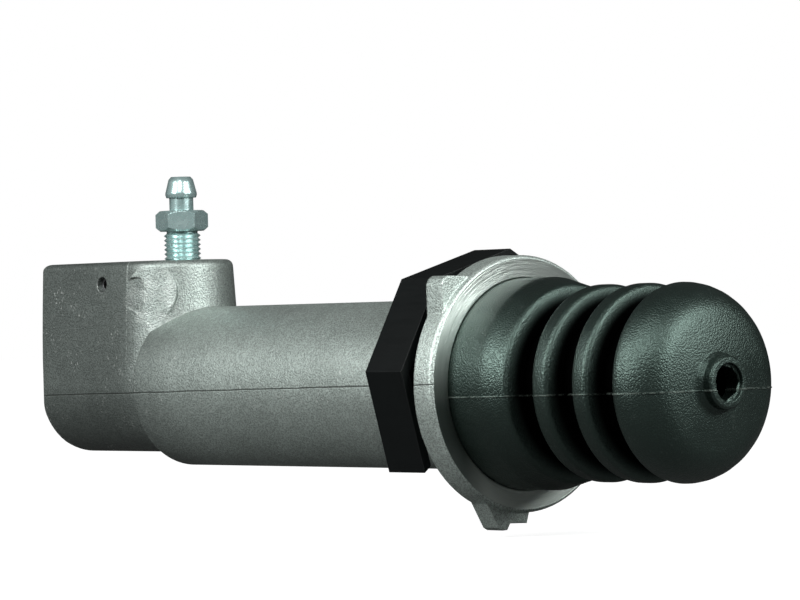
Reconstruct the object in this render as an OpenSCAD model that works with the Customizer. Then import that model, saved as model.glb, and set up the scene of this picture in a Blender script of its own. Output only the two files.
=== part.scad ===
// Clutch slave cylinder: a die-cast barrel with a bayonet flange, a rubber boot and a bleed screw.
// +X runs along the bore towards the boot and +Z points to the bleed screw.
// The origin is on the bore axis, in the machined front face of the flange.

/* [Barrel and bore] */
// Outside diameter of the barrel
barrel_d = 34.6; // [32:0.1:36]
// Diameter of the hydraulic bore
bore_d = 23.8; // [20:0.1:25.4]
// Depth of the machined bore behind the flange face
bore_depth = 92; // [86:1:98]
// Diameter of the cored chamber behind the machined bore
chamber_d = 14; // [10:0.5:15]
// Depth of the cored chamber behind the flange face
chamber_depth = 131; // [130:0.5:136]
// Distance from the flange face back to the rear end of the barrel
barrel_len = 105.8; // [98:0.1:110]

/* [Flange] */
// Outside diameter of the round flange
flange_d = 51.6; // [50.6:0.1:56]
// Thickness of the flange
flange_t = 5.5; // [5:0.1:6.5]
// Radius of the rounded front rim of the flange
rim_round = 0.9; // [0.6:0.1:1.6]
// Radius of the fillet between the barrel and the flange
root_fillet = 1.6; // [1:0.1:2]
// Radius of the bayonet lugs at their tips
lug_tip_r = 29.8; // [29.4:0.1:32]
// Thickness of the bayonet lugs
lug_t = 4.5; // [3:0.1:5]
// Angle of the first lug, from the top towards the near side
lug_angle = 44; // [30:1:60]
// Angle from one lug to the next
lug_spacing = 123; // [117:0.5:123]

/* [Head block] */
// Distance from the flange face back to the rear face of the block
block_back = 141.9; // [138:0.1:150]
// Width of the block at the bore axis
block_w = 29; // [28:0.1:32]
// Height of the flat top above the bore axis
block_top = 27.7; // [26:0.1:32]
// Draft of the cast sides, in degrees
draft = 3; // [1:0.5:4]
// Radius of the rounded top edges
edge_round = 1.6; // [0.8:0.1:2.2]
// Reach of the rounded nose in front of the bleed screw, at the bore axis
nose_reach = 11.3; // [9:0.1:12]
// Diameter of the round pad on the near side of the nose
pad_d = 12; // [8:0.1:13]
// Turn of the round pad around the nose, from the near side to the front, in degrees
pad_turn = 28; // [20:1:36]
// Height of the round pad above the bore axis
pad_z = 20.1; // [19:0.1:20.6]

/* [Ports] */
// Distance from the flange face back to the bleed screw
bleed_back = 108.2; // [107:0.1:109.5]
// Distance from the flange face back to the fluid port in the flat top
port_back = 128.2; // [127:0.1:129]
// Diameter of the seal bore at the foot of the fluid port
port_d = 12; // [10:0.1:12.4]
// Depth of the fluid port below the flat top
port_depth = 14.5; // [12:0.1:16]
// Diameter of the cross hole for the retaining pin
pin_hole_d = 3.4; // [2.6:0.1:3.8]
// Depth of the cross hole below the flat top
pin_drop = 4.9; // [4:0.1:6]

/* [Bleed screw] */
// Major diameter of the thread
thread_d = 8; // [7:0.5:9]
// Pitch of the thread
thread_pitch = 1; // [0.75:0.25:1.25]
// Length of thread that shows above the block
thread_show = 6.4; // [4:0.1:8]
// Width across the flats of the hexagon
hex_af = 10; // [9:0.5:11]
// Height of the hexagon
hex_h = 4.5; // [3.5:0.1:6]
// Diameter of the neck below the hose barb
neck_d = 5.3; // [4.6:0.1:6]
// Diameter of the hose barb
barb_d = 6.95; // [6.3:0.05:7.6]

/* [Locking collar] */
// Circumscribed radius of the octagonal collar
collar_r = 27.45; // [26:0.05:30]
// Length of the collar along the barrel
collar_len = 10.6; // [8:0.1:14]
// Wall of the collar
collar_wall = 2; // [1.4:0.1:2.4]
// Gap between the collar and the back of the flange
collar_gap = 1.6; // [1.4:0.1:4]
// Turn of the octagon's top corner towards the far side, in degrees
collar_turn = 7; // [0:1:22]
// Width of the mouth that snaps over the barrel
collar_mouth = 30; // [28:0.5:32]

/* [Dust boot] */
// Radius of the boot where it leaves the flange
boot_r = 21.2; // [20.8:0.1:21.6]
// Radius of the folds at their crests
crest_r = 19.4; // [18.8:0.1:20]
// Depth of the grooves between the folds
fold_depth = 4.6; // [2.6:0.1:5]
// Distance of the first fold from the flange face
fold_first = 23.4; // [21:0.1:25]
// Distance from fold to fold
fold_pitch = 10.9; // [9:0.1:12]
// Wall of the rubber
boot_wall = 1.6; // [1.2:0.1:1.8]
// Radius of the nozzle for the pushrod
nozzle_r = 5.15; // [4.8:0.05:6]
// Radius of the hole in the nozzle
nozzle_hole_r = 3.75; // [3:0.05:4]
// Length of the nozzle
nozzle_len = 2.8; // [2:0.1:5]

/* [Inner parts] */
// Length of the piston
piston_len = 36; // [30:0.5:44]
// Wire thickness of the preload spring
wire_d = 1.6; // [1:0.1:2]
// Number of turns of the preload spring
spring_turns = 7; // [5:1:9]

/* [Hidden] */
$fn = 96;

barrel_r = barrel_d / 2;
bore_r = bore_d / 2;
flange_r = flange_d / 2;
block_r = block_w / 2;

// Running and seating clearances
run_gap = 0.04;
thread_gap = 0.05;
seat_gap = 0.3;
// A cut starts this far outside the face that it opens
past = 1;
// Bevel of machined and moulded edges
edge_break = 0.4;

// Boot recess in the flange: an undercut groove around the bore's hub. Its lip holds the boot's foot
foot_ledge = 1;
foot_gap = 0.05;
recess_depth = 3.3;
recess_lip = 1.2;
lip_r = boot_r + foot_gap;
recess_r = boot_r + foot_ledge;
hub_r = boot_r - boot_wall - 0.3;

// Groove for the stop ring behind the bore's mouth
ring_t = 1.2;
ring_front = 5;
ring_grip = 1.3;
ring_reach = 1.2;
ring_gap = 0.05;
ring_r = bore_r + ring_grip;
hub_drop = 0.8;
hub_chamfer = 1;

// Nose of the block
nose_r = block_r;
nose_x = -bleed_back + nose_reach - nose_r;
lean = tan(draft);

// Collar
collar_front = -flange_t - collar_gap;
collar_rear = collar_front - collar_len;
octagon_flat = cos(22.5);

// Piston at rest against the stop ring
piston_r = bore_r - run_gap;
piston_front = -ring_front - ring_t - seat_gap;
piston_rear = piston_front - piston_len;
spigot_r = 5;
spigot_len = 7.5;
cup_len = 6;
cup_rear = piston_rear - cup_len;
seat_t = 1.4;
seat_rear = cup_rear - seat_t;
spring_side_gap = 1.7;
spring_r = bore_r - wire_d / 2 - spring_side_gap;

// Cross-section points of a quarter round, from angle a to angle b in degrees
function arc(cx, cy, r, a, b, n = 6) =
    [for (i = [0:n]) let (t = a + (b - a) * i / n) [cx + r * cos(t), cy + r * sin(t)]];

// A point at a radius and an angle from the top, as [y, z]
function polar(r, a) = [r * sin(a), r * cos(a)];

// A body turned about the bore axis from a profile of [radius, x] points
module turned(profile) {
    rotate([0, 90, 0])
        rotate_extrude(convexity = 8)
            polygon(profile);
}

// A flat section in [y, z] drawn out from x0 to x1
module drawn(x0, x1) {
    translate([x0, 0, 0])
        rotate([90, 0, 90])
            linear_extrude(x1 - x0)
                children();
}

// A round bar or drill along the bore axis
module bar_x(x0, x1, r, z = 0) {
    translate([x0, 0, z])
        rotate([0, 90, 0])
            cylinder(h = x1 - x0, r = r);
}

module barrel_and_flange() {
    rear_bevel = 0.8;
    turned(concat(
        [[0, -barrel_len], [barrel_r - rear_bevel, -barrel_len], [barrel_r, -barrel_len + rear_bevel]],
        arc(barrel_r + root_fillet, -flange_t - root_fillet, root_fillet, 180, 90),
        [[flange_r - edge_break, -flange_t], [flange_r, -flange_t + edge_break]],
        arc(flange_r - rim_round, -rim_round, rim_round, 0, 90),
        [[0, 0]]
    ));
}

// One bayonet lug: a straight ramp up to the blunt tip, then a step down. Past the step the first
// lug falls straight to the rim, while the others keep a low foot.
module lug(angle, footed) {
    root_r = flange_r - 1;
    rim_r = flange_r - 0.1;
    tip_flank_r = lug_tip_r - 0.3;
    step_r = lug_tip_r - 1.7;
    foot_r = lug_tip_r - 1.9;
    lug_front = -1;
    ramp = [polar(root_r, angle + 15), polar(rim_r, angle + 12), polar(tip_flank_r, angle + 2.2)];
    tip = [polar(lug_tip_r, angle), polar(tip_flank_r, angle - 2.4)];
    low_foot = [polar(step_r, angle - 3.6), polar(foot_r, angle - 13), polar(rim_r, angle - 14.6)];
    fall = [polar(step_r + 0.3, angle - 4.8), polar(rim_r, angle - 12)];
    drawn(lug_front - lug_t, lug_front)
        polygon(concat(ramp, tip, footed ? low_foot : fall, [polar(root_r, angle - 16)]));
}

// Horseshoe section of the block: drafted sides over a half-round bottom
module block_section() {
    top_half = block_r - block_top * lean;
    corner_y = top_half - edge_round + edge_round * lean;
    corner_z = block_top - edge_round;
    union() {
        circle(r = block_r);
        polygon(concat(
            [[-block_r, 0], [block_r, 0]],
            arc(corner_y, corner_z, edge_round, draft, 90),
            arc(-corner_y, corner_z, edge_round, 90, 180 - draft)
        ));
    }
}

// Side view of the block with its rounded top rear edge, as [x, z]
module block_side_view() {
    rear = -block_back;
    foot_round = 0.8;
    foot_start = 2.5;
    polygon(concat(
        [[nose_x, -block_r - past], [nose_x, block_top + past], [rear + edge_round, block_top + past]],
        arc(rear + edge_round, block_top - edge_round, edge_round, 90, 180),
        arc(rear + foot_round, -block_r + foot_start, foot_round, 180, 200, 2),
        [[rear + foot_round, -block_r - past]]
    ));
}

// Plan view of the block with its rear corners rounded, as [x, y]
module block_plan() {
    rear = -block_back;
    corner = 1.2;
    corner_y = block_r - corner;
    polygon(concat(
        arc(rear + corner, corner_y, corner, 90, 180),
        arc(rear + corner, -corner_y, corner, 180, 270),
        [[nose_x, -block_r - past], [nose_x, block_r + past]]
    ));
}

module block() {
    intersection() {
        drawn(-block_back, nose_x) block_section();
        rotate([90, 0, 0])
            linear_extrude(block_w + 2 * past, center = true)
                block_side_view();
        translate([0, 0, -block_r - past])
            linear_extrude(block_top + block_r + 3 * past)
                block_plan();
    }
}

// The nose: a drafted round front above the bore axis and a half-round below it
module nose() {
    translate([nose_x, 0, 0])
        rotate_extrude()
            polygon(concat(
                [[0, 0], [nose_r, 0]],
                arc(nose_r - block_top * lean - edge_round, block_top - edge_round, edge_round, 0, 90),
                [[0, block_top]]
            ));
    bar_x(nose_x - past, -barrel_len + past, block_r);
}

// A flat round face on the nose, its axis square to the drafted wall
module nose_face(turn, z, r, sunk, out) {
    face = nose_r - z * lean - sunk;
    translate([nose_x, 0, z])
        rotate([0, 0, turn])
            rotate([90 - draft, 0, 0])
                translate([0, 0, out > 0 ? face : 0])
                    cylinder(h = out > 0 ? out : face, r = r);
}

// A round cast pad that stands proud where the nose curves away from it
module nose_pad() {
    pad_sunk = 0.5;
    nose_face(pad_turn, pad_z, pad_d / 2, pad_sunk, 0);
}

// The witness of an ejector pin beside the pad
module ejector_mark() {
    mark_r = 3.6;
    mark_sunk = 0.3;
    nose_face(pad_turn - 17, pad_z - 0.3, mark_r, mark_sunk, 2);
}

// Stepped hole for the bleed screw, with its conical seat and the passage to the bore
bleed_hole_r = thread_d / 2 + thread_gap;
bleed_seat_depth = 11.3;
bleed_seat_z = block_top - bleed_seat_depth;
bleed_pin_r = thread_d / 2 - 0.9;
bleed_pin_len = 2.8;
bleed_thread_end = bleed_seat_z + bleed_pin_len;
passage_r = 1.5;
module bleed_hole() {
    lead_in = 0.5;
    translate([-bleed_back, 0, 0])
        rotate_extrude()
            polygon([
                [0, chamber_d / 2 - past],
                [passage_r, chamber_d / 2 - past],
                [passage_r, bleed_seat_z - bleed_pin_r + passage_r],
                [bleed_pin_r, bleed_seat_z],
                [bleed_pin_r, bleed_thread_end],
                [bleed_hole_r, bleed_thread_end],
                [bleed_hole_r, block_top - lead_in],
                [bleed_hole_r + lead_in, block_top],
                [bleed_hole_r + lead_in, block_top + past],
                [0, block_top + past]
            ]);
}

// Fluid port in the flat top: a wide mouth over a seal bore, and a drilling to the chamber.
// The retaining pin crosses the mouth's front wall and bites into the mouth a little.
port_ledge = 1.2;
port_mouth_r = port_d / 2 + port_ledge;
port_step = 9;
pin_bite = 0.95;
pin_r = pin_hole_d / 2 - run_gap;
pin_x = -port_back + port_mouth_r + pin_r - pin_bite;
pin_z = block_top - pin_drop;
module fluid_port() {
    lead_in = 0.8;
    floor_z = block_top - port_depth;
    translate([-port_back, 0, 0])
        rotate_extrude()
            polygon([
                [0, chamber_d / 2 - past],
                [passage_r, chamber_d / 2 - past],
                [passage_r, floor_z],
                [port_d / 2, floor_z],
                [port_d / 2, block_top - port_step - port_ledge],
                [port_mouth_r, block_top - port_step],
                [port_mouth_r, block_top - lead_in],
                [port_mouth_r + lead_in, block_top],
                [port_mouth_r + lead_in, block_top + past],
                [0, block_top + past]
            ]);
    translate([pin_x, 0, pin_z])
        rotate([90, 0, 0])
            cylinder(h = block_w + 2 * past, d = pin_hole_d, center = true);
}

// The hydraulic bore with its mouth, stop ring groove and the recess for the boot
module bore_and_recess() {
    groove_front = -ring_front + ring_gap;
    groove_rear = -ring_front - ring_t - ring_gap;
    chamber_r = chamber_d / 2;
    core_bevel = 2;
    lip_break = 0.15;
    turned([
        [0, -chamber_depth],
        [chamber_r - core_bevel, -chamber_depth],
        [chamber_r, -chamber_depth + core_bevel],
        [chamber_r, -bore_depth],
        [bore_r, -bore_depth],
        [bore_r, groove_rear],
        [ring_r, groove_rear],
        [ring_r, groove_front],
        [bore_r, groove_front],
        [bore_r, -hub_drop - hub_chamfer],
        [bore_r + hub_chamfer, -hub_drop],
        [hub_r - edge_break, -hub_drop],
        [hub_r, -hub_drop - edge_break],
        [hub_r, -recess_depth],
        [recess_r, -recess_depth],
        [recess_r, -recess_lip],
        [lip_r, -recess_lip],
        [lip_r, -lip_break],
        [lip_r + lip_break, 0],
        [lip_r + lip_break, past],
        [0, past]
    ]);
}

module cylinder_body() {
    color([0.66, 0.69, 0.66])
        difference() {
            union() {
                barrel_and_flange();
                for (i = [0:2]) lug(-lug_angle - i * lug_spacing, i > 0);
                block();
                nose();
                nose_pad();
            }
            bore_and_recess();
            bleed_hole();
            fluid_port();
            ejector_mark();
        }
}

// Octagonal shell with a back web and a sleeve on the barrel, open at the bottom
module locking_collar() {
    sleeve_bore = barrel_r + 2 * run_gap;
    sleeve_wall = 1.6;
    sleeve_drop = 1.4;
    web_t = 2;
    inner_r = collar_r - collar_wall / octagon_flat;
    reach = 1.5 * collar_r;
    color([0.13, 0.13, 0.14])
        difference() {
            union() {
                drawn(collar_rear, collar_front)
                    difference() {
                        octagon(collar_r);
                        octagon(inner_r);
                    }
                drawn(collar_rear, collar_rear + web_t) octagon(collar_r - collar_wall / 2);
                bar_x(collar_rear, collar_front - sleeve_drop, sleeve_bore + sleeve_wall);
            }
            bar_x(collar_rear - past, collar_front + past, sleeve_bore);
            drawn(collar_rear - past, collar_front + past)
                polygon([
                    [0, 0],
                    polar(reach, collar_turn - 135),
                    polar(reach, collar_turn + 180),
                    polar(reach, collar_turn + 135)
                ]);
            rotate([-collar_turn, 0, 0])
                translate([collar_rear - past, -collar_mouth / 2, -reach])
                    cube([collar_len + 2 * past, collar_mouth, reach]);
        }
}

// A regular octagon with a corner at the top, turned by the collar's angle
module octagon(r) {
    polygon([for (k = [0:7]) polar(r, collar_turn + k * 45)]);
}

// The boot's folds, each a flat crest with round corners between deep grooves. Number 0 is the
// shoulder of the plain skirt and number 3 is the rim of the cap.
crest_land = 1;
crest_round = 1.2;
groove_lean = 0.7;
shoulder_drop = 1.3;
skirt_taper = 4;
corner_sweep = 75;
fold_floor_r = crest_r - fold_depth;
skirt_end = fold_x(0) - skirt_taper;
function fold_x(k) = fold_first + (k - 1) * fold_pitch;
function fold_top(k) = k == 0 ? boot_r - shoulder_drop : crest_r;

// Outside of the boot from the front corner of fold k to the rear corner of the next fold
function fold_outside(k) =
    let (foot = crest_land + crest_round + groove_lean)
    let (last = fold_x(k) + crest_land, next = fold_x(k + 1) - crest_land)
    concat(
        arc(fold_top(k) - crest_round, last, crest_round, 0, corner_sweep, 3),
        [[fold_floor_r, fold_x(k) + foot], [fold_floor_r, fold_x(k + 1) - foot]],
        arc(crest_r - crest_round, next, crest_round, -corner_sweep, 0, 3)
    );

// Inside of the boot over the same stretch
function fold_inside(k) =
    let (crest_half = crest_land + crest_round - boot_wall, foot_half = crest_half + groove_lean)
    [
        [fold_top(k) - boot_wall, fold_x(k) + crest_half],
        [fold_floor_r - boot_wall, fold_x(k) + foot_half],
        [fold_floor_r - boot_wall, fold_x(k + 1) - foot_half],
        [crest_r - boot_wall, fold_x(k + 1) - crest_half]
    ];

// The cap: a wide round that turns into a tighter one before the flat end face
cap_x = fold_x(3) - crest_land;
cap_round = 10;
cap_sweep = 50;
cap_corner = 4.5;
cap_round_r = crest_r - cap_round;
cap_corner_r = cap_round_r + (cap_round - cap_corner) * cos(cap_sweep);
cap_corner_x = cap_x + (cap_round - cap_corner) * sin(cap_sweep);
nozzle_x = cap_corner_x + cap_corner;
nozzle_front = nozzle_x + nozzle_len;

// Section of the cap at a depth below its outside, from an angle near the rim to the end face
function cap_arcs(deep, start) = concat(
    arc(cap_round_r, cap_x, cap_round - deep, start, cap_sweep, 5),
    arc(cap_corner_r, cap_corner_x, cap_corner - deep, cap_sweep + 10, 90, 3)
);

module dust_boot() {
    foot_top = -recess_lip - foot_gap;
    foot_r = recess_r - foot_gap;
    foot_bevel = 0.3;
    skirt_bore = hub_r + foot_gap;
    nozzle_foot = 0.8;
    outer = concat(
        [[foot_r, -recess_depth], [foot_r, foot_top - foot_bevel], [foot_r - foot_bevel, foot_top]],
        [[boot_r, foot_top], [boot_r, skirt_end]],
        [for (k = [0:2]) each fold_outside(k)],
        cap_arcs(0, 5),
        [[nozzle_r + nozzle_foot, nozzle_x], [nozzle_r, nozzle_x + nozzle_foot]],
        [[nozzle_r, nozzle_front - edge_break], [nozzle_r - edge_break, nozzle_front]],
        [[nozzle_hole_r, nozzle_front]]
    );
    inner_reverse = concat(
        [[skirt_bore, -recess_depth], [skirt_bore, skirt_end]],
        [for (k = [0:2]) each fold_inside(k)],
        cap_arcs(boot_wall, 6),
        [[nozzle_hole_r, nozzle_x - boot_wall]]
    );
    inner = [for (i = [len(inner_reverse) - 1:-1:0]) inner_reverse[i]];
    color([0.1, 0.11, 0.11])
        turned(concat(outer, inner));
}

// Thread drawn as rings at the true pitch, from z0 up to z1
function thread_rings(z0, z1) =
    let (n = floor((z1 - z0) / thread_pitch), crest = thread_d / 2, root = crest - 0.55 * thread_pitch)
    [for (k = [0:n - 1]) each [
        [root, z0 + k * thread_pitch],
        [crest, z0 + (k + 0.44) * thread_pitch],
        [crest, z0 + (k + 0.56) * thread_pitch]
    ]];

module bleed_screw() {
    hex_z = block_top + thread_show;
    neck_z = hex_z + hex_h;
    neck_h = 2.85;
    barb_z = neck_z + neck_h;
    barb_h = 4.6;
    barb_land = 0.4;
    top_z = barb_z + barb_h;
    thread_z = bleed_thread_end + 0.4;
    runout = 0.5;
    thread_top = hex_z - runout;
    runout_r = thread_d / 2 - 0.6;
    tip_r = bleed_pin_r - 0.4;
    tip_z = bleed_seat_z - 0.25;
    drill_r = 1;
    cross_r = 0.7;
    hex_r = hex_af / 2 / cos(30);
    hex_turn = 50;
    hex_bevel = 0.9;
    color([0.78, 0.84, 0.83])
        translate([-bleed_back, 0, 0])
            difference() {
                union() {
                    rotate_extrude()
                        polygon(concat(
                            [[0, tip_z - tip_r + drill_r], [drill_r, tip_z - tip_r + drill_r]],
                            [[tip_r, tip_z], [tip_r, thread_z]],
                            thread_rings(thread_z, thread_top),
                            [[runout_r, thread_top], [runout_r, hex_z + runout]],
                            [[neck_d / 2, hex_z + runout], [neck_d / 2, barb_z]],
                            [[barb_d / 2 - 0.2, barb_z], [barb_d / 2, barb_z + 0.6]],
                            [[barb_d / 2, barb_z + 0.6 + barb_land]],
                            [[neck_d / 2 + 0.05, top_z - 0.6]],
                            [[neck_d / 2 - 0.5, top_z], [0, top_z]]
                        ));
                    intersection() {
                        translate([0, 0, hex_z])
                            rotate([0, 0, hex_turn])
                                cylinder(h = hex_h, r = hex_r, $fn = 6);
                        rotate_extrude()
                            polygon([
                                [0, hex_z],
                                [hex_af / 2 - 0.2, hex_z],
                                [hex_r + 0.1, hex_z + hex_bevel],
                                [hex_r + 0.1, neck_z - hex_bevel],
                                [hex_af / 2 - 0.2, neck_z],
                                [0, neck_z]
                            ]);
                    }
                }
                translate([0, 0, bleed_seat_z + 1])
                    cylinder(h = top_z - bleed_seat_z, r = drill_r);
                translate([0, 0, bleed_seat_z + 1 + cross_r])
                    rotate([90, 0, 0])
                        cylinder(h = thread_d, r = cross_r, center = true);
            }
}

// Slotted spring pin across the fluid port
module connector_pin() {
    end_depth = 1.2;
    half = block_r - pin_z * lean - end_depth;
    pin_wall = 0.7;
    slot = 0.8;
    color([0.6, 0.62, 0.62])
        translate([pin_x, 0, pin_z])
            rotate([90, 0, 0])
                difference() {
                    cylinder(h = 2 * half, r = pin_r, center = true);
                    cylinder(h = 2 * half + past, r = pin_r - pin_wall, center = true);
                    translate([0, 0, -half - past])
                        translate([-slot / 2, 0, 0])
                            cube([slot, pin_r + past, 2 * half + 2 * past]);
                }
}

// Piston with a socket for the pushrod, a seal groove and a rear spigot for the cup
seal_w = 3;
seal_land = 5;
seal_front = piston_front - seal_land;
groove_depth = 2.86;
groove_r = piston_r - groove_depth;
module piston() {
    bevel = 0.5;
    socket_r = 6.5;
    socket_depth = 12;
    socket_taper = 1.5;
    color([0.7, 0.7, 0.68])
        turned([
            [0, piston_rear - spigot_len],
            [spigot_r - bevel, piston_rear - spigot_len],
            [spigot_r, piston_rear - spigot_len + bevel],
            [spigot_r, piston_rear],
            [piston_r - bevel, piston_rear],
            [piston_r, piston_rear + bevel],
            [piston_r, seal_front - seal_w],
            [groove_r, seal_front - seal_w],
            [groove_r, seal_front],
            [piston_r, seal_front],
            [piston_r, piston_front - bevel],
            [piston_r - bevel, piston_front],
            [socket_r, piston_front],
            [socket_r - socket_taper, piston_front - socket_depth + 2],
            [socket_r - socket_taper - 2, piston_front - socket_depth],
            [0, piston_front - socket_depth]
        ]);
}

// Rubber cup on the spigot, its lip open towards the fluid
lip_gap = 0.06;
cup_hollow = 1.6;
module primary_cup() {
    color([0.12, 0.12, 0.12])
        turned([
            [spigot_r + run_gap, cup_rear + cup_hollow],
            [spigot_r + 1.6, cup_rear + cup_hollow],
            [bore_r - 3, cup_rear + cup_hollow + 0.8],
            [bore_r - 1.4, cup_rear],
            [bore_r - lip_gap, cup_rear],
            [bore_r - lip_gap, cup_rear + 1.4],
            [bore_r - 0.5, piston_rear],
            [spigot_r + run_gap, piston_rear]
        ]);
}

// Rubber seal in the front groove of the piston
module secondary_seal() {
    side = 0.05;
    foot_r = groove_r + run_gap;
    lip_r = bore_r - lip_gap;
    rear = seal_front - seal_w + side;
    color([0.12, 0.12, 0.12])
        turned([
            [foot_r, rear],
            [lip_r - 1.5, rear],
            [lip_r, rear + 0.3],
            [lip_r, rear + 0.9],
            [lip_r - 0.9, seal_front - side],
            [foot_r, seal_front - side]
        ]);
}

// Plate between the cup and the spring, with a collar that centres the coil
module spring_seat() {
    inner_coil = spring_r - wire_d / 2 - 0.3;
    rim_r = spring_r + wire_d / 2 + 0.4;
    pilot_len = 2;
    color([0.75, 0.73, 0.66])
        turned([
            [spigot_r + run_gap, seat_rear - pilot_len],
            [inner_coil, seat_rear - pilot_len],
            [inner_coil, seat_rear],
            [rim_r, seat_rear],
            [rim_r, cup_rear - seat_gap],
            [rim_r - 2, cup_rear + cup_hollow - 0.2],
            [spigot_r + run_gap, cup_rear + cup_hollow - 0.2]
        ]);
}

// Coil spring from the rear wall of the bore to the seat
module preload_spring() {
    steps = 20;
    sides = 8;
    wire_r = wire_d / 2;
    end_gap = 0.1;
    x0 = -bore_depth + wire_r + end_gap;
    x1 = seat_rear - wire_r - end_gap;
    n = spring_turns * steps;
    function coil_point(i) =
        let (a = 360 * i / steps, x = x0 + (x1 - x0) * i / n)
        [x, spring_r * cos(a), spring_r * sin(a)];
    function ring_point(i, k) =
        let (a = 360 * i / steps, b = 360 * k / sides, r = spring_r + wire_r * cos(b), c = coil_point(i))
        [c[0] + wire_r * sin(b), r * cos(a), r * sin(a)];
    points = [for (i = [0:n]) for (k = [0:sides - 1]) ring_point(i, k)];
    walls = [
        for (i = [0:n - 1]) for (k = [0:sides - 1])
            let (a = i * sides + k, b = i * sides + (k + 1) % sides)
            each [[a, b, b + sides], [a, b + sides, a + sides]]
    ];
    caps = [
        [for (k = [0:sides - 1]) sides - 1 - k],
        [for (k = [0:sides - 1]) n * sides + k]
    ];
    color([0.55, 0.56, 0.57])
        polyhedron(points, concat(walls, caps));
}

// Snap ring that stops the piston at the bore's mouth
module stop_ring() {
    inner = bore_r - ring_reach;
    outer = ring_r - 2 * ring_gap;
    opening = 5;
    color([0.45, 0.46, 0.47])
        difference() {
            turned([
                [inner, -ring_front - ring_t],
                [outer, -ring_front - ring_t],
                [outer, -ring_front],
                [inner, -ring_front]
            ]);
            translate([-ring_front - ring_t - past, -opening / 2, -ring_r - past])
                cube([ring_t + 2 * past, opening, bore_r]);
        }
}

cylinder_body();
locking_collar();
dust_boot();
bleed_screw();
connector_pin();
piston();
primary_cup();
secondary_seal();
spring_seat();
preload_spring();
stop_ring();
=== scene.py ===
# %% [markdown]
# A clutch slave cylinder seen from the boot's side: a die-cast barrel, a black plastic collar, a
# flange with lugs, a folded rubber boot and a plated bleed screw. The solids come from the packed
# model. This script adds the camera, the light, the finishes and the small moulded details.

# %% Load the frame
import math

import bpy
from mathutils import Matrix, Vector


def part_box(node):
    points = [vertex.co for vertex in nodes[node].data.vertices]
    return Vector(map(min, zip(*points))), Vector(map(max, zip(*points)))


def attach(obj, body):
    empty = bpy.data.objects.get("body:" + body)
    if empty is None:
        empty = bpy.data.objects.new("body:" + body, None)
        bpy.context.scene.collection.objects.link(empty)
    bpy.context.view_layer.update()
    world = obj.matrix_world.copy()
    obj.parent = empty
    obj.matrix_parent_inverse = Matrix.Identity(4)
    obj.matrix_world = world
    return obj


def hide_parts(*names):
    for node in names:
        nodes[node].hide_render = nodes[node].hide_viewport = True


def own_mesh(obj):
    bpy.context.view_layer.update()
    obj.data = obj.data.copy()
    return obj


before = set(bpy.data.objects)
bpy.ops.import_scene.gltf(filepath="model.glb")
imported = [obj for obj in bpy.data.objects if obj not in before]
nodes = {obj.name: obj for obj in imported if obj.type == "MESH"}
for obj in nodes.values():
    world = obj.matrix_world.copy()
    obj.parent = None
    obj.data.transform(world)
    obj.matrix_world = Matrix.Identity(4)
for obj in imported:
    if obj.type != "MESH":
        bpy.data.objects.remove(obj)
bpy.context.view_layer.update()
MM = 0.001
bpy.ops.object.select_all(action="DESELECT")
print("nodes:", ", ".join(sorted(nodes)))

# %% [markdown]
# The camera stands about 0.83 m away, level with the barrel, and looks at the boot's end at an
# angle, so that the long barrel runs away to the left. Such a long lens keeps the perspective
# weak. A camera could be turned by hand until it fits, but a target, a bearing, a distance and a
# roll are four plain numbers that say what each one does.

# %% Camera
CAMERA_TARGET = Vector((-37.1, 0, 17.51)) * MM
CAMERA_BEARING = math.radians(48.04)
CAMERA_RISE = math.radians(-0.11)
CAMERA_ROLL = math.radians(-1.6)
CAMERA_DISTANCE = 828.86 * MM
CAMERA_LENS = 180.2

away = Vector((
    math.sin(CAMERA_BEARING) * math.cos(CAMERA_RISE),
    -math.cos(CAMERA_BEARING) * math.cos(CAMERA_RISE),
    math.sin(CAMERA_RISE),
))
camera_data = bpy.data.cameras.new("camera")
camera_data.sensor_fit = "HORIZONTAL"
camera_data.sensor_width = 36
camera_data.lens = CAMERA_LENS
camera_data.clip_start = 0.01
camera = bpy.data.objects.new("camera", camera_data)
bpy.context.scene.collection.objects.link(camera)
level = away.to_track_quat("Z", "Y")
camera.rotation_mode = "QUATERNION"
camera.rotation_quaternion = level @ Matrix.Rotation(CAMERA_ROLL, 3, "Z").to_quaternion()
camera.location = CAMERA_TARGET + away * CAMERA_DISTANCE
bpy.context.scene.camera = camera
bpy.context.scene.view_settings.view_transform = "Standard"
print("camera at", [round(v, 4) for v in camera.location])

# %% [markdown]
# Small helpers for shader nodes. Each one adds a node, fills its sockets with numbers or links
# and hands back the node, so that a material reads like a recipe, one ingredient a line.

# %% Shader helpers
def put(tree, kind, sockets=None, **settings):
    made = tree.nodes.new(kind)
    for name, value in settings.items():
        setattr(made, name, value)
    for name, value in (sockets or {}).items():
        if isinstance(value, bpy.types.NodeSocket):
            tree.links.new(value, made.inputs[name])
        else:
            made.inputs[name].default_value = value
    return made


def calc(tree, operation, a, b=0.0, c=0.0, clamp=False):
    made = put(tree, "ShaderNodeMath", {0: a, 1: b, 2: c}, operation=operation, use_clamp=clamp)
    return made.outputs[0]


def ramp(tree, value, low, high, out_low=0.0, out_high=1.0):
    made = put(tree, "ShaderNodeMapRange", {
        "Value": value, "From Min": low, "From Max": high, "To Min": out_low, "To Max": out_high,
    }, interpolation_type="SMOOTHSTEP")
    return made.outputs["Result"]


def blend_colour(tree, amount, first, second, mode="MIX"):
    made = put(tree, "ShaderNodeMix", {"Factor": amount}, data_type="RGBA", blend_type=mode)
    for index, value in ((6, first), (7, second)):
        if isinstance(value, bpy.types.NodeSocket):
            tree.links.new(value, made.inputs[index])
        else:
            made.inputs[index].default_value = value
    return made.outputs[2]


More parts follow.
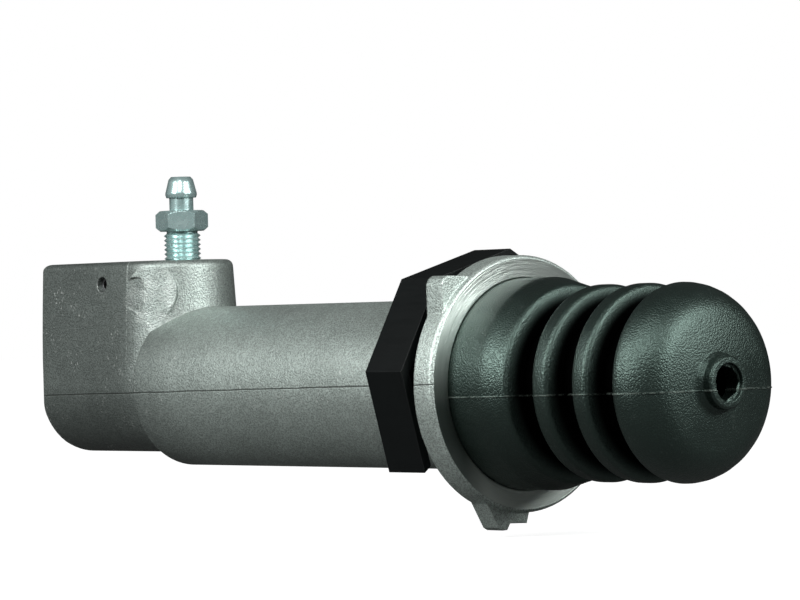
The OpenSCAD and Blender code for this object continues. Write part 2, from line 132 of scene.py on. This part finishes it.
def noise(tree, vector, size, detail=2.0, roughness=0.5, output="Fac"):
    made = put(tree, "ShaderNodeTexNoise", {
        "Vector": vector, "Scale": 1 / size, "Detail": detail, "Roughness": roughness,
    })
    return made.outputs[output]


def object_place(tree):
    return put(tree, "ShaderNodeTexCoord").outputs["Object"]


def fresh_material(name):
    made = bpy.data.materials.new(name)
    made.use_nodes = True
    made.node_tree.nodes.clear()
    return made, made.node_tree


def finish_material(tree, shader):
    out = put(tree, "ShaderNodeOutputMaterial")
    tree.links.new(shader.outputs["BSDF"], out.inputs["Surface"])


def dress(thing, *materials):
    thing.data.materials.clear()
    for material in materials:
        thing.data.materials.append(material)
    print(thing.name, "wears", ", ".join(material.name for material in materials))


# %% [markdown]
# Three effects return on several pieces, so each is a node group with named inputs: a fine grain
# of cast or moulded skin, the thin line that the two halves of a mould leave, and the rounded
# edge that no real casting is without. The last one compares the surface's normal with the
# normal of a softened edge, which marks the edges where the materials paint a highlight, on the casting together with
# the polish of handling.

# %% Shared effects
def new_group(name, inputs, outputs):
    tree = bpy.data.node_groups.new(name, "ShaderNodeTree")
    for title, kind in inputs:
        tree.interface.new_socket(title, in_out="INPUT", socket_type=kind)
    for title, kind in outputs:
        tree.interface.new_socket(title, in_out="OUTPUT", socket_type=kind)
    start = tree.nodes.new("NodeGroupInput")
    end = tree.nodes.new("NodeGroupOutput")
    return tree, start.outputs, end.inputs


def place_group(tree, group, sockets):
    made = tree.nodes.new("ShaderNodeGroup")
    made.node_tree = group
    for name, value in sockets.items():
        if isinstance(value, bpy.types.NodeSocket):
            tree.links.new(value, made.inputs[name])
        else:
            made.inputs[name].default_value = value
    return made.outputs


def grain_group():
    tree, given, result = new_group(
        "skin_grain",
        [("Vector", "NodeSocketVector"), ("Scale", "NodeSocketFloat")],
        [("Height", "NodeSocketFloat"), ("Sparkle", "NodeSocketFloat")],
    )
    fine = put(tree, "ShaderNodeTexNoise", {"Vector": given["Vector"], "Scale": given["Scale"], "Detail": 3.0, "Roughness": 0.65})
    cells = put(tree, "ShaderNodeTexVoronoi", {"Vector": given["Vector"], "Scale": calc(tree, "MULTIPLY", given["Scale"], 0.8)})
    pit = ramp(tree, cells.outputs["Distance"], 0.1, 0.75)
    height = calc(tree, "MULTIPLY_ADD", pit, 0.5, calc(tree, "MULTIPLY", fine.outputs["Fac"], 0.6))
    tree.links.new(height, result["Height"])
    shade = put(tree, "ShaderNodeSeparateColor", {"Color": cells.outputs["Color"]})
    tree.links.new(ramp(tree, shade.outputs["Red"], 0.93, 1.0), result["Sparkle"])
    return tree


def seam_group():
    tree, given, result = new_group(
        "mould_seam",
        [("Vector", "NodeSocketVector"), ("Slope", "NodeSocketFloat"), ("Offset", "NodeSocketFloat"), ("Width", "NodeSocketFloat")],
        [("Mask", "NodeSocketFloat"), ("Side", "NodeSocketFloat")],
    )
    wander = noise(tree, given["Vector"], 0.009, 3.0)
    parts = put(tree, "ShaderNodeSeparateXYZ", {"Vector": given["Vector"]})
    line = calc(tree, "MULTIPLY_ADD", parts.outputs["X"], given["Slope"], given["Offset"])
    line = calc(tree, "MULTIPLY_ADD", calc(tree, "SUBTRACT", wander, 0.5), 0.0004, line)
    off = calc(tree, "SUBTRACT", parts.outputs["Z"], line)
    near = calc(tree, "DIVIDE", calc(tree, "ABSOLUTE", off), given["Width"])
    tree.links.new(ramp(tree, near, 1.0, 0.0), result["Mask"])
    tree.links.new(ramp(tree, off, -0.00025, 0.00025), result["Side"])
    return tree


def edge_group():
    tree, given, result = new_group(
        "soft_edge",
        [("Radius", "NodeSocketFloat")],
        [("Normal", "NodeSocketVector"), ("Edge", "NodeSocketFloat")],
    )
    soft = put(tree, "ShaderNodeBevel", {"Radius": given["Radius"]}, samples=6)
    flat = put(tree, "ShaderNodeNewGeometry")
    same = put(tree, "ShaderNodeVectorMath", {0: soft.outputs["Normal"], 1: flat.outputs["Normal"]}, operation="DOT_PRODUCT")
    tree.links.new(soft.outputs["Normal"], result["Normal"])
    tree.links.new(ramp(tree, same.outputs["Value"], 0.95, 0.82), result["Edge"])
    return tree


skin_grain = grain_group()
mould_seam = seam_group()
soft_edge = edge_group()
print("groups:", skin_grain.name, mould_seam.name, soft_edge.name)

# %% [markdown]
# The casting is blasted aluminium: matte, slightly green-grey, with a bead-like grain, bright
# specks and a faint cloudiness. Where a tool has cut it, on the flange's ring and in the bores,
# it is smooth and shows turning marks. Both finishes share one material, and masks made from the
# place on the part choose between them, so that the border runs exactly along the cut edge.

# %% Cast aluminium
def cast_aluminium():
    material, tree = fresh_material("cast_aluminium")
    place = object_place(tree)
    parts = put(tree, "ShaderNodeSeparateXYZ", {"Vector": place})
    x, y, z = (parts.outputs[k] for k in "XYZ")
    radius = calc(tree, "SQRT", calc(tree, "ADD", calc(tree, "MULTIPLY", y, y), calc(tree, "MULTIPLY", z, z)))
    # machined places
    front = calc(tree, "MULTIPLY", ramp(tree, x, -0.0004, -0.0002), ramp(tree, radius, 0.0251, 0.0249))
    bore = calc(tree, "MULTIPLY", ramp(tree, radius, 0.0122, 0.0120), ramp(tree, x, -0.1045, -0.1035))
    to_port = put(tree, "ShaderNodeVectorMath", {0: place, 1: (-0.1282, 0, 0)}, operation="SUBTRACT")
    port_parts = put(tree, "ShaderNodeSeparateXYZ", {"Vector": to_port.outputs[0]})
    port_radius = calc(tree, "SQRT", calc(tree, "ADD",
        calc(tree, "MULTIPLY", port_parts.outputs["X"], port_parts.outputs["X"]),
        calc(tree, "MULTIPLY", port_parts.outputs["Y"], port_parts.outputs["Y"])))
    port = calc(tree, "MULTIPLY", ramp(tree, port_radius, 0.0083, 0.0081), ramp(tree, z, 0.0105, 0.0115))
    cut = calc(tree, "MAXIMUM", front, calc(tree, "MAXIMUM", bore, port))
    # grain and clouds of the cast skin
    grain = place_group(tree, skin_grain, {"Vector": place, "Scale": 3400.0})
    clouds = noise(tree, place, 0.016, 4.0, 0.6)
    patches = noise(tree, place, 0.0035, 3.0, 0.6)
    seam = place_group(tree, mould_seam, {"Vector": place, "Slope": 0.0155, "Offset": 0.00066, "Width": 0.00022})
    tone = calc(tree, "MULTIPLY_ADD", clouds, 0.5, 0.75)
    tone = calc(tree, "MULTIPLY", tone, calc(tree, "MULTIPLY_ADD", patches, 0.24, 0.88))
    tone = calc(tree, "MULTIPLY", tone, calc(tree, "MULTIPLY_ADD", grain["Height"], 1.15, 0.36))
    # painted shade: the casting is painted darker towards the block, standing in for the light falling off there
    tone = calc(tree, "MULTIPLY", tone, ramp(tree, x, -0.118, -0.084, 0.50, 1.13))
    tone = calc(tree, "MULTIPLY", tone, ramp(tree, x, -0.0075, -0.0045, 1.0, 1.15))
    cast = blend_colour(tree, 1.0, (0.385, 0.445, 0.415, 1), put(tree, "ShaderNodeCombineColor", {"Red": tone, "Green": tone, "Blue": tone}).outputs[0], "MULTIPLY")
    # painted glints: bright specks where the blasted grain would sparkle
    specks = calc(tree, "MULTIPLY", grain["Sparkle"], ramp(tree, noise(tree, place, 0.006, 3.0), 0.45, 0.68))
    cast = blend_colour(tree, calc(tree, "MULTIPLY", specks, 0.65), cast, (0.85, 0.9, 0.86, 1))
    cast = blend_colour(tree, calc(tree, "MULTIPLY", seam["Mask"], 0.75), cast, (0.09, 0.1, 0.09, 1))
    # polished patch beside the round pad
    from_pad = put(tree, "ShaderNodeVectorMath", {0: place, 1: (-0.1045, -0.0125, 0.0195)}, operation="DISTANCE")
    rubbed = calc(tree, "MULTIPLY", ramp(tree, from_pad.outputs["Value"], 0.0125, 0.002), ramp(tree, noise(tree, place, 0.0032, 5.0, 0.7), 0.42, 0.62))
    cast = blend_colour(tree, calc(tree, "MULTIPLY", rubbed, 0.22), cast, (0.72, 0.76, 0.73, 1))
    edge = place_group(tree, soft_edge, {"Radius": 0.0005})
    # painted highlight on the rounded edges, together with the polish of handling there
    cast = blend_colour(tree, calc(tree, "MULTIPLY", edge["Edge"], 0.35), cast, (0.7, 0.74, 0.71, 1))
    # turned surface: rings about the bore axis
    rings = put(tree, "ShaderNodeCombineXYZ", {"X": radius, "Y": calc(tree, "MULTIPLY", y, 0.02), "Z": calc(tree, "MULTIPLY", z, 0.02)})
    turning = noise(tree, rings.outputs[0], 0.0003, 3.0, 0.7)
    machined = blend_colour(tree, turning, (0.60, 0.68, 0.63, 1), (0.84, 0.92, 0.87, 1))
    # painted shade and dark reflection of the boot: the turned face is painted dark at the near side's lower half,
    # and less dark at the top
    painted_face_shade = calc(tree, "MULTIPLY", ramp(tree, y, -0.010, -0.0185), ramp(tree, z, 0.006, -0.005))
    painted_face_shade = calc(tree, "MAXIMUM", painted_face_shade, calc(tree, "MULTIPLY", ramp(tree, z, 0.015, 0.022), 0.45))
    machined = blend_colour(tree, calc(tree, "MULTIPLY", painted_face_shade, 0.82), machined, (0.06, 0.085, 0.075, 1))
    colour = blend_colour(tree, cut, cast, machined)
    rough = calc(tree, "MULTIPLY_ADD", grain["Height"], 0.1, 0.4)
    rough = calc(tree, "SUBTRACT", rough, calc(tree, "MULTIPLY", rubbed, 0.05))
    dull = ramp(tree, z, -0.008, -0.017, 0.3, 0.52)
    rough = put(tree, "ShaderNodeMix", {0: cut, 2: rough, 3: dull}).outputs[0]
    height = calc(tree, "MULTIPLY_ADD", grain["Height"], 0.00006, calc(tree, "MULTIPLY", seam["Mask"], -0.00012))
    height = calc(tree, "MULTIPLY_ADD", patches, 0.00012, height)
    height = put(tree, "ShaderNodeMix", {0: cut, 2: height, 3: calc(tree, "MULTIPLY", turning, 0.00007)}).outputs[0]
    bump = put(tree, "ShaderNodeBump", {"Height": height, "Strength": 1.0, "Distance": 1.0, "Normal": edge["Normal"]})
    shader = put(tree, "ShaderNodeBsdfPrincipled", {
        "Base Color": colour, "Metallic": calc(tree, "MULTIPLY_ADD", cut, 0.2, 0.75), "Roughness": rough, "Normal": bump.outputs[0],
    })
    finish_material(tree, shader)
    return material


aluminium = cast_aluminium()
dress(nodes["cylinder_body"], aluminium)

# %% [markdown]
# The boot is moulded rubber: nearly black, with a soft grey-green sheen on every fold and a fine
# grain that breaks the sheen into sparkles. A low base colour with a broad, slightly tinted gloss
# gives that look. A velvet-like sheen could do it too, but it would light up the grazing edges.

# %% Rubber and plastic
def rubber(name, base, roughness, grain_scale, grain_height, groove_radii=None):
    material, tree = fresh_material(name)
    place = object_place(tree)
    grain = place_group(tree, skin_grain, {"Vector": place, "Scale": grain_scale})
    clouds = noise(tree, place, 0.007, 4.0, 0.6)
    # painted sparkle: pale specks where the grain would glint
    painted_sparkle = calc(tree, "MULTIPLY", grain["Sparkle"], ramp(tree, clouds, 0.4, 0.7))
    pale = tuple(min(1.0, c * 2.6) for c in base[:3]) + (1,)
    colour = blend_colour(tree, calc(tree, "MULTIPLY_ADD", clouds, 0.5, 0.05), base, pale)
    colour = blend_colour(tree, calc(tree, "MULTIPLY", painted_sparkle, 0.12), colour, (0.2, 0.23, 0.21, 1))
    rough = calc(tree, "MULTIPLY_ADD", clouds, 0.16, roughness - 0.08)
    groove_shade, rounding, crown = 0.0, 0.0003, 0.0
    if groove_radii:
        parts = put(tree, "ShaderNodeSeparateXYZ", {"Vector": place})
        flat = put(tree, "ShaderNodeCombineXYZ", {"Y": parts.outputs["Y"], "Z": parts.outputs["Z"]})
        radius = put(tree, "ShaderNodeVectorMath", {0: flat.outputs[0]}, operation="LENGTH").outputs["Value"]
        # painted shade: the deep grooves are painted black and made fully metallic, so they show neither colour nor
        # sheen
        groove_shade = ramp(tree, radius, groove_radii[0], groove_radii[1], 1.0, 0.0)
        groove_shade = calc(tree, "MULTIPLY", groove_shade, ramp(tree, parts.outputs["X"], 0.047, 0.046))
        colour = blend_colour(tree, groove_shade, colour, (0.001, 0.001, 0.001, 1))
        rough = calc(tree, "MULTIPLY_ADD", groove_shade, 0.4, rough)
        dome = calc(tree, "MULTIPLY", ramp(tree, parts.outputs["X"], 0.046, 0.048), ramp(tree, radius, 0.0072, 0.009))
        rounding = calc(tree, "MULTIPLY_ADD", dome, 0.0027, rounding)
        # the mould's flash line is painted paler in broken places
        level = calc(tree, "MULTIPLY_ADD", parts.outputs["X"], -0.012, parts.outputs["Z"])
        level = calc(tree, "ABSOLUTE", calc(tree, "ADD", level, 0.00205))
        paler_flash = calc(tree, "MULTIPLY", ramp(tree, level, 0.00026, 0.00014), ramp(tree, noise(tree, place, 0.0011, 4.0, 0.7), 0.40, 0.56))
        colour = blend_colour(tree, calc(tree, "MULTIPLY", paler_flash, 0.55), colour, (0.16, 0.19, 0.17, 1))
        # the end cap is crowned by less than 2 mm
        reach = calc(tree, "SMOOTH_MIN", radius, 0.0142, 0.0045)
        crown = calc(tree, "MULTIPLY", calc(tree, "MULTIPLY", reach, reach), -9.0)
    edge = place_group(tree, soft_edge, {"Radius": rounding})
    height = calc(tree, "MULTIPLY_ADD", grain["Height"], grain_height, calc(tree, "MULTIPLY_ADD", clouds, 0.0001, crown))
    bump = put(tree, "ShaderNodeBump", {"Height": height, "Strength": 1.0, "Distance": 1.0, "Normal": edge["Normal"]})
    shader = put(tree, "ShaderNodeBsdfPrincipled", {
        "Base Color": colour, "Roughness": rough, "Normal": bump.outputs[0],
        "Metallic": groove_shade, "Specular IOR Level": 0.95, "Specular Tint": (0.70, 1.0, 0.88, 1),
    })
    finish_material(tree, shader)
    return material


boot_rubber = rubber("boot_rubber", (0.0034, 0.0056, 0.0048, 1), 0.38, 3300.0, 0.00008, (0.0162, 0.0190))
seal_rubber = rubber("seal_rubber", (0.012, 0.012, 0.012, 1), 0.35, 4000.0, 0.00001)
dress(nodes["dust_boot"], boot_rubber)
dress(nodes["primary_cup"], seal_rubber)
dress(nodes["secondary_seal"], seal_rubber)


def moulded_plastic(name, base, roughness):
    material, tree = fresh_material(name)
    place = object_place(tree)
    grain = place_group(tree, skin_grain, {"Vector": place, "Scale": 5000.0})
    drawn = put(tree, "ShaderNodeMapping", {"Vector": place, "Scale": (0.06, 1.0, 1.0)})
    streaks = noise(tree, drawn.outputs[0], 0.0005, 3.0, 0.6)
    clouds = noise(tree, place, 0.006, 3.0)
    edge = place_group(tree, soft_edge, {"Radius": 0.0002})
    pale = tuple(min(1.0, c * 2.5 + 0.001) for c in base[:3]) + (1,)
    colour = blend_colour(tree, calc(tree, "MULTIPLY", clouds, 0.5), base, pale)
    # painted highlight along the edges
    colour = blend_colour(tree, calc(tree, "MULTIPLY", edge["Edge"], 0.8), colour, tuple(min(1.0, c * 4 + 0.04) for c in base[:3]) + (1,))
    rough = calc(tree, "MULTIPLY_ADD", streaks, 0.2, roughness - 0.1)
    height = calc(tree, "MULTIPLY_ADD", grain["Height"], 0.000006, calc(tree, "MULTIPLY", streaks, 0.000012))
    bump = put(tree, "ShaderNodeBump", {"Height": height, "Strength": 1.0, "Distance": 1.0, "Normal": edge["Normal"]})
    shader = put(tree, "ShaderNodeBsdfPrincipled", {"Base Color": colour, "Roughness": rough, "Normal": bump.outputs[0], "Specular IOR Level": 0.2})
    finish_material(tree, shader)
    return material


black_plastic = moulded_plastic("black_plastic", (0.002, 0.003, 0.003, 1), 0.45)
seat_plastic = moulded_plastic("seat_plastic", (0.5, 0.47, 0.38, 1), 0.5)
dress(nodes["locking_collar"], black_plastic)
dress(nodes["spring_seat"], seat_plastic)

# %% [markdown]
# The steel pieces are plated or oiled. Zinc plate is bright with a blue-green cast and fine
# drawing marks, so it gets a high polish with a little noise in the roughness, while spring steel
# is darker and the piston shows turning rings.

# %% Steel and turned metal
def metal(name, dark, light, roughness, metallic, ring_axis=None):
    material, tree = fresh_material(name)
    place = object_place(tree)
    parts = put(tree, "ShaderNodeSeparateXYZ", {"Vector": place})
    if ring_axis == "X":
        spun = put(tree, "ShaderNodeCombineXYZ", {"X": parts.outputs["X"], "Y": calc(tree, "MULTIPLY", parts.outputs["Y"], 0.03), "Z": calc(tree, "MULTIPLY", parts.outputs["Z"], 0.03)})
    else:
        spun = put(tree, "ShaderNodeCombineXYZ", {"X": calc(tree, "MULTIPLY", parts.outputs["X"], 0.03), "Y": calc(tree, "MULTIPLY", parts.outputs["Y"], 0.03), "Z": parts.outputs["Z"]})
    marks = noise(tree, spun.outputs[0], 0.00012, 3.0, 0.6)
    clouds = noise(tree, place, 0.0016, 4.0, 0.65)
    edge = place_group(tree, soft_edge, {"Radius": 0.00012})
    colour = blend_colour(tree, calc(tree, "MULTIPLY_ADD", marks, 0.5, calc(tree, "MULTIPLY", clouds, 0.5)), dark, light)
    # painted highlight along the edges
    colour = blend_colour(tree, calc(tree, "MULTIPLY", edge["Edge"], 0.5), colour, light)
    rough = calc(tree, "MULTIPLY_ADD", clouds, 0.14, roughness - 0.07)
    height = calc(tree, "MULTIPLY_ADD", marks, 0.000004, calc(tree, "MULTIPLY", clouds, 0.00001))
    bump = put(tree, "ShaderNodeBump", {"Height": height, "Strength": 1.0, "Distance": 1.0, "Normal": edge["Normal"]})
    shader = put(tree, "ShaderNodeBsdfPrincipled", {"Base Color": colour, "Roughness": rough, "Normal": bump.outputs[0], "Metallic": metallic})
    finish_material(tree, shader)
    return material


zinc_steel = metal("zinc_steel", (0.24, 0.48, 0.48, 1), (0.84, 1.0, 0.97, 1), 0.27, 0.7)
spring_steel = metal("spring_steel", (0.2, 0.2, 0.21, 1), (0.42, 0.42, 0.43, 1), 0.35, 1.0)
turned_metal = metal("turned_metal", (0.55, 0.56, 0.56, 1), (0.78, 0.79, 0.78, 1), 0.28, 1.0, "X")
dress(nodes["bleed_screw"], zinc_steel)
for name in ("connector_pin", "preload_spring", "stop_ring"):
    dress(nodes[name], spring_steel)
dress(nodes["piston"], turned_metal)

# %% [markdown]
# Where the two halves of the boot's mould met, a little rubber crept out and left a raised line
# along both sides, over the skirt, every fold and the cap. It could be painted as a bump, but a
# real ridge also shows on the outline. A copy of the boot's skin is cut by two planes a quarter of
# a millimetre apart, which leaves a ribbon that follows each fold, and the ribbon is thickened.

# %% Flash line on the boot
FLASH_HEIGHT = -2.05 * MM
FLASH_CLIMB = 0.012
FLASH_HALF_WIDTH = 0.13 * MM
FLASH_PROUD = 0.16 * MM


def only(thing):
    bpy.ops.object.select_all(action="DESELECT")
    thing.select_set(True)
    bpy.context.view_layer.objects.active = thing


def pick_faces(thing, wanted):
    bpy.ops.mesh.select_all(action="DESELECT")
    bpy.ops.object.mode_set(mode="OBJECT")
    count = 0
    for face in thing.data.polygons:
        face.select = wanted(face.center, face.normal)
        count += face.select
    bpy.ops.object.mode_set(mode="EDIT")
    return count


def copy_of_node(name, new_name):
    copied = bpy.data.objects.new(new_name, nodes[name].data.copy())
    bpy.context.scene.collection.objects.link(copied)
    only(copied)
    bpy.ops.object.mode_set(mode="EDIT")
    bpy.ops.mesh.select_all(action="SELECT")
    bpy.ops.mesh.remove_doubles(threshold=0.001 * MM)
    return copied


def is_inner_skin(centre, normal):
    outward = Vector((0, centre.y, centre.z)).normalized()
    faces_axis = normal.dot(outward) < 0.02 and normal.x < 0.9
    in_recess = centre.x < 0.2 * MM
    return faces_axis or in_recess


flash = copy_of_node("dust_boot", "boot_flash")
bpy.ops.mesh.select_mode(type="FACE")
dropped = pick_faces(flash, is_inner_skin)
bpy.ops.mesh.delete(type="FACE")
for side in (1, -1):
    bpy.ops.mesh.select_all(action="SELECT")
    bpy.ops.mesh.bisect(
        plane_co=(0, 0, FLASH_HEIGHT + side * FLASH_HALF_WIDTH), plane_no=(-FLASH_CLIMB, 0, 1),
        clear_outer=side > 0, clear_inner=side < 0,
    )
bpy.ops.mesh.select_all(action="SELECT")
bpy.ops.mesh.remove_doubles(threshold=0.01 * MM)
bpy.ops.object.mode_set(mode="OBJECT")
thicken = flash.modifiers.new("thicken", "SOLIDIFY")
thicken.thickness = 2 * FLASH_PROUD
thicken.offset = 0
bpy.ops.object.modifier_apply(modifier=thicken.name)
dress(flash, boot_rubber)
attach(flash, "cylinder")
print("flash line:", len(flash.data.polygons), "faces,", dropped, "faces dropped")

# %% [markdown]
# The nozzle is moulded closed and opened by tearing out its thin end, which leaves a ragged rim
# inside the hole. A disc with its middle removed is a clean start. Its inner edge is then pushed
# in and out by a wave of several lengths, so that it looks torn but comes out the same each time.

# %% Torn rim in the nozzle
TEAR_X = 54.9 * MM
TEAR_RADIUS = 3.8 * MM
TEAR_WIDTH = 0.5 * MM
TEAR_WAVES = ((3, 0.25, 1.1), (7, 0.14, 0.4), (12, 0.09, 2.0), (19, 0.06, 0.9))

bpy.ops.object.select_all(action="DESELECT")
bpy.ops.mesh.primitive_circle_add(
    vertices=96, radius=TEAR_RADIUS, fill_type="NGON", location=(TEAR_X, 0, 0), rotation=(0, math.radians(90), 0)
)
tear = bpy.context.object
tear.name = tear.data.name = "torn_rim"
bpy.ops.object.transform_apply(location=True, rotation=True, scale=True)
bpy.ops.object.mode_set(mode="EDIT")
bpy.ops.mesh.inset(thickness=TEAR_WIDTH)
bpy.ops.mesh.delete(type="FACE")
bpy.ops.object.mode_set(mode="OBJECT")
for corner in tear.data.vertices:
    reach = math.hypot(corner.co.y, corner.co.z)
    if reach < TEAR_RADIUS - TEAR_WIDTH / 2:
        turn = math.atan2(corner.co.z, corner.co.y)
        push = sum(size * math.sin(count * turn + start) for count, size, start in TEAR_WAVES) * MM
        corner.co.y *= 1 + push / reach
        corner.co.z *= 1 + push / reach
        corner.co.x -= 0.25 * MM + push / 2
only(tear)
thicken = tear.modifiers.new("thicken", "SOLIDIFY")
thicken.thickness = 0.3 * MM
thicken.offset = 0
bpy.ops.object.modifier_apply(modifier=thicken.name)
bpy.ops.object.mode_set(mode="EDIT")
bpy.ops.mesh.select_all(action="SELECT")
bpy.ops.mesh.normals_make_consistent(inside=False)
bpy.ops.object.mode_set(mode="OBJECT")
dress(tear, boot_rubber)
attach(tear, "cylinder")
print("torn rim:", len(tear.data.polygons), "faces")

# %% [markdown]
# The preload spring is a coil of round wire that the piston presses together. The imported spring is
# plain and can't get shorter, so a rounder one takes its place. It starts as a small circle, the
# wire's section, and a screw modifier winds it round the bore's axis. It could follow a curve too,
# but the screw keeps the section square to the axis.

# %% Preload spring
WIRE_SIDES = 14
STEPS_A_TURN = 36
SPRING_TURNS = 7
low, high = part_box("preload_spring")
wire = 1.6 * MM
spring_length = high[0] - low[0]
coil_radius = (high[1] - low[1]) / 2 - wire / 2
bpy.ops.object.select_all(action="DESELECT")
bpy.ops.mesh.primitive_circle_add(
    vertices=WIRE_SIDES, radius=wire / 2, location=(low[0] + wire / 2, coil_radius, 0)
)
coil = bpy.context.object
coil.name = coil.data.name = "spring_coil"
bpy.ops.object.transform_apply(location=True, rotation=True, scale=True)
wind = coil.modifiers.new("wind", "SCREW")
wind.axis = "X"
wind.angle = math.radians(360)
wind.iterations = SPRING_TURNS
wind.steps = STEPS_A_TURN
wind.render_steps = STEPS_A_TURN
wind.screw_offset = (spring_length - wire) / SPRING_TURNS
bpy.ops.object.modifier_apply(modifier=wind.name)
bpy.ops.object.mode_set(mode="EDIT")
bpy.ops.mesh.select_all(action="SELECT")
bpy.ops.mesh.remove_doubles(threshold=0.001 * MM)
bpy.ops.mesh.fill_holes(sides=0)
bpy.ops.mesh.select_all(action="SELECT")
bpy.ops.mesh.normals_make_consistent(inside=False)
bpy.ops.object.mode_set(mode="OBJECT")
dress(coil, spring_steel)
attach(coil, "cylinder")
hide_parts("preload_spring")
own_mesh(coil)
print("spring:", round(spring_length / MM, 1), "mm long,", len(coil.data.polygons), "faces")

# %% [markdown]
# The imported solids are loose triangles, so smooth shading alone would do nothing. Two modifiers
# that leave the mesh itself as it is put that right: the first welds the triangles for display,
# the second parts them again where two faces meet at more than 30 degrees, so that round walls
# look round and true edges stay crisp. A third lets large flat faces keep their own direction.

# %% Smooth the solids
CRISP_ANGLE = math.radians(30)
for name, thing in nodes.items():
    only(thing)
    bpy.ops.object.shade_smooth()
    weld = thing.modifiers.new("weld", "WELD")
    weld.merge_threshold = 0.001 * MM
    crisp = thing.modifiers.new("crisp_edges", "EDGE_SPLIT")
    crisp.split_angle = CRISP_ANGLE
    even = thing.modifiers.new("even_normals", "WEIGHTED_NORMAL")
    even.keep_sharp = True
only(flash)
bpy.ops.object.shade_smooth_by_angle(angle=CRISP_ANGLE)
bpy.ops.object.select_all(action="DESELECT")
print("smoothed", len(nodes), "solids")

# %% [markdown]
# The stage is a plain pale floor and a white surround. The floor and the surround look white to
# the camera, but give little light themselves, because the underside of the real part is dark.

# %% Floor and surround
FLOOR_Z = -30.5 * MM
bpy.ops.mesh.primitive_plane_add(size=6, location=(0, 0, FLOOR_Z))
floor = bpy.context.object
floor.name = "floor"


def floor_material():
    material, tree = fresh_material("pale_floor")
    path = put(tree, "ShaderNodeLightPath")
    seen = calc(tree, "MAXIMUM", path.outputs["Is Camera Ray"], path.outputs["Is Transmission Ray"])
    matte = put(tree, "ShaderNodeBsdfDiffuse", {"Color": blend_colour(tree, seen, (0.12, 0.12, 0.12, 1), (0.5, 0.5, 0.5, 1))})
    distance = put(tree, "ShaderNodeVectorMath", {0: object_place(tree)}, operation="LENGTH").outputs["Value"]
    paper = ramp(tree, distance, 0.12, 0.7, 0.86, 1.0)
    glow = put(tree, "ShaderNodeEmission", {"Color": (1, 1, 1, 1), "Strength": calc(tree, "MULTIPLY", path.outputs["Is Camera Ray"], paper)})
    both = put(tree, "ShaderNodeAddShader", {0: matte.outputs[0], 1: glow.outputs[0]})
    out = put(tree, "ShaderNodeOutputMaterial")
    tree.links.new(both.outputs[0], out.inputs["Surface"])
    return material


floor.data.materials.append(floor_material())

world = bpy.data.worlds.new("surround")
bpy.context.scene.world = world
world.use_nodes = True
sky = world.node_tree
sky.nodes.clear()
path = put(sky, "ShaderNodeLightPath")
way = put(sky, "ShaderNodeTexCoord").outputs["Generated"]
up = put(sky, "ShaderNodeSeparateXYZ", {"Vector": way}).outputs["Z"]
strength = ramp(sky, up, -0.3, 1.0, 0.01, 0.06)
strength = put(sky, "ShaderNodeMix", {0: path.outputs["Is Camera Ray"], 2: strength, 3: 1.0}).outputs[0]
background = put(sky, "ShaderNodeBackground", {"Color": (1, 1, 1, 1), "Strength": strength})
sky.links.new(background.outputs[0], put(sky, "ShaderNodeOutputWorld").inputs["Surface"])

# %% [markdown]
# Two soft lamps stand above the barrel's near side, one to the left and one to the right, so the
# barrel is brightest a little above its middle and its underside falls dark. A third lamp on the
# boot's side lights the machined ring and draws the second bright stripe on the screw, and a
# broad weak one keeps the shaded side readable.

# %% Lamps
def soft_lamp(name, place, aim, power, size):
    data = bpy.data.lights.new(name, "AREA")
    data.shape = "DISK"
    data.size = size
    data.energy = power
    lamp = bpy.data.objects.new(name, data)
    lamp.location = place
    lamp.rotation_mode = "QUATERNION"
    lamp.rotation_quaternion = (Vector(place) - Vector(aim)).to_track_quat("Z", "Y")
    bpy.context.scene.collection.objects.link(lamp)
    print(name, "at", [round(v, 3) for v in place], power, "W")
    return lamp


soft_lamp("left_key", (-0.12, -0.42, 0.20), (0, 0, 0), 1.35, 0.14)
soft_lamp("high_key", (0.13, -0.28, 0.28), (0, 0, 0), 0.72, 0.14)
soft_lamp("back_key", (0.36, 0.0, 0.22), (0, 0, 0), 1.0, 0.2)
soft_lamp("cap_lamp", (0.36, 0.18, 0.18), (0, 0, 0), 0.8, 0.2)
soft_lamp("low_fill", (-0.5, -0.4, 0.12), (-0.05, 0, 0), 0.12, 0.5)
